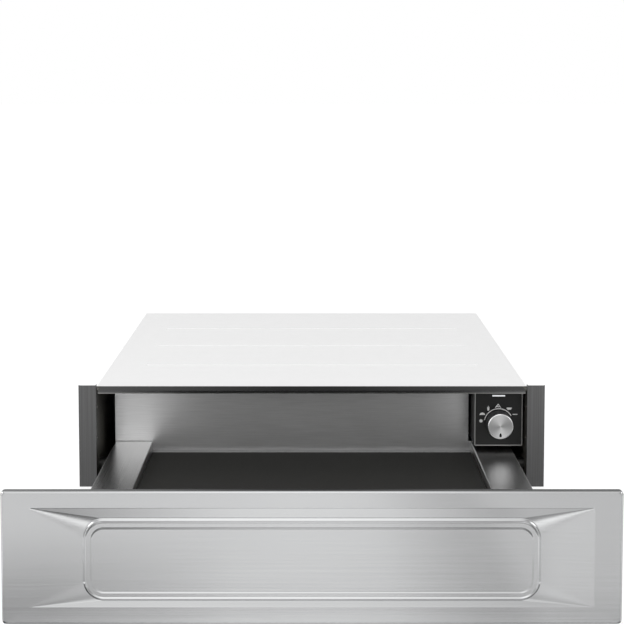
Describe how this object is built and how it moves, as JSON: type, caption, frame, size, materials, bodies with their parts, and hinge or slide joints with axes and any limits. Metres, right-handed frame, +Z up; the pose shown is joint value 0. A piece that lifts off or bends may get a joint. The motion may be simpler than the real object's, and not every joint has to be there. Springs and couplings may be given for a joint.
{
  "type": "built-in warming drawer",
  "caption": "Low steel drawer on ball runners in a sheet housing, with a pressed front panel, an anti-slip mat, a heater, a fan and a dial inside; shown pulled out.",
  "frame": {"origin": "on the niche floor, under the middle of the housing's front edge", "axes": "+X to the right as seen from the front, +Y to the back, +Z up"},
  "size_m": [0.597, 0.964, 0.133],
  "materials": {
    "panel_steel": "brushed along X",
    "frame_steel": "fine upright brushing",
    "drawer_steel": "brushed",
    "zinc_sheet": "zinc-coated, satin",
    "runner_steel": "bright zinc",
    "ball_steel": "polished",
    "screw_steel": "satin",
    "control_paint": "satin black",
    "pilot_glass": "frosted",
    "dark_plastic": "matt",
    "light_plastic": "matt",
    "knob_metal": "spun",
    "copper_tube": "dull",
    "reflector_steel": "bright",
    "support_ceramic": "matt",
    "element_steel": "heat-darkened",
    "motor_steel": "satin",
    "mat_rubber": "matt",
    "bumper_rubber": "matt"
  },
  "bodies": {
    "housing": {"base_pan": "zinc_sheet", "side_wall_left": "zinc_sheet", "side_wall_right": "zinc_sheet", "top_cover": "zinc_sheet", "rear_panel": "zinc_sheet", "rear_baffle": "zinc_sheet", "trim_left": "frame_steel", "trim_right": "frame_steel", "top_rail": "frame_steel", "cover_screws": "screw_steel", "rear_screws": "screw_steel", "runner_bracket_left": "zinc_sheet", "runner_bracket_right": "zinc_sheet", "runner_fixed_left": "runner_steel", "runner_fixed_right": "runner_steel", "control_box": "zinc_sheet", "control_fascia": "control_paint", "pilot_lens": "pilot_glass", "pilot_lamp": "light_plastic", "thermostat": "motor_steel", "sensor_bulb": "copper_tube", "reflector_plate": "reflector_steel", "heater_support_front": "support_ceramic", "heater_support_rear": "support_ceramic", "heating_element": "element_steel", "fan_bracket": "zinc_sheet", "fan_motor": "motor_steel", "thermal_cutout": "light_plastic", "terminal_block": "light_plastic", "cable_gland": "dark_plastic", "latch_case": "dark_plastic"},
    "drawer": {"front_panel": "panel_steel", "panel_backing": "zinc_sheet", "inner_front": "drawer_steel", "panel_screws": "screw_steel", "tray": "drawer_steel", "drawer_rear_wall": "drawer_steel", "anti_slip_mat": "mat_rubber", "runner_drawer_left": "runner_steel", "runner_drawer_right": "runner_steel", "latch_striker": "screw_steel", "panel_bumpers": "bumper_rubber"},
    "runner_middle_left": {"runner_middle_left": "runner_steel"},
    "outer_ball_cage_left": {"outer_ball_cage_left": "ball_steel"},
    "inner_ball_cage_left": {"inner_ball_cage_left": "ball_steel"},
    "runner_middle_right": {"runner_middle_right": "runner_steel"},
    "outer_ball_cage_right": {"outer_ball_cage_right": "ball_steel"},
    "inner_ball_cage_right": {"inner_ball_cage_right": "ball_steel"},
    "knob": {"knob_body": "dark_plastic", "knob_cap": "knob_metal"},
    "fan_wheel": {"fan_wheel": "dark_plastic"},
    "latch_plunger": {"latch_plunger": "light_plastic"}
  },
  "joints": [
    {"name": "drawer_slide", "type": "slide", "parent": "housing", "child": "drawer", "axis": [0, -1, 0], "range_m": [-0.41, 0]},
    {"name": "runner_middle_left_slide", "type": "slide", "parent": "housing", "child": "runner_middle_left", "axis": [0, -1, 0], "range_m": [-0.205, 0]},
    {"name": "outer_ball_cage_left_slide", "type": "slide", "parent": "housing", "child": "outer_ball_cage_left", "axis": [0, -1, 0], "range_m": [-0.1025, 0]},
    {"name": "inner_ball_cage_left_slide", "type": "slide", "parent": "housing", "child": "inner_ball_cage_left", "axis": [0, -1, 0], "range_m": [-0.3075, 0]},
    {"name": "runner_middle_right_slide", "type": "slide", "parent": "housing", "child": "runner_middle_right", "axis": [0, -1, 0], "range_m": [-0.205, 0]},
    {"name": "outer_ball_cage_right_slide", "type": "slide", "parent": "housing", "child": "outer_ball_cage_right", "axis": [0, -1, 0], "range_m": [-0.1025, 0]},
    {"name": "inner_ball_cage_right_slide", "type": "slide", "parent": "housing", "child": "inner_ball_cage_right", "axis": [0, -1, 0], "range_m": [-0.3075, 0]},
    {"name": "knob_turn", "type": "hinge", "parent": "housing", "child": "knob", "pos_m": [0.2426, 0.0112, 0.0789], "axis": [0, 1, 0], "range_deg": [0, 240]},
    {"name": "fan_spin", "type": "hinge", "parent": "housing", "child": "fan_wheel", "pos_m": [0, 0.4945, 0.064], "axis": [0, 1, 0], "continuous": true},
    {"name": "latch_press", "type": "slide", "parent": "housing", "child": "latch_plunger", "axis": [0, 1, 0], "range_m": [0, 0.006], "stiffness_N_per_m": 200}
  ],
  "couplings": [
    {"joint": "runner_middle_left_slide", "follows": "drawer_slide", "ratio": 0.5},
    {"joint": "outer_ball_cage_left_slide", "follows": "drawer_slide", "ratio": 0.25},
    {"joint": "inner_ball_cage_left_slide", "follows": "drawer_slide", "ratio": 0.75},
    {"joint": "runner_middle_right_slide", "follows": "drawer_slide", "ratio": 0.5},
    {"joint": "outer_ball_cage_right_slide", "follows": "drawer_slide", "ratio": 0.25},
    {"joint": "inner_ball_cage_right_slide", "follows": "drawer_slide", "ratio": 0.75}
  ]
}
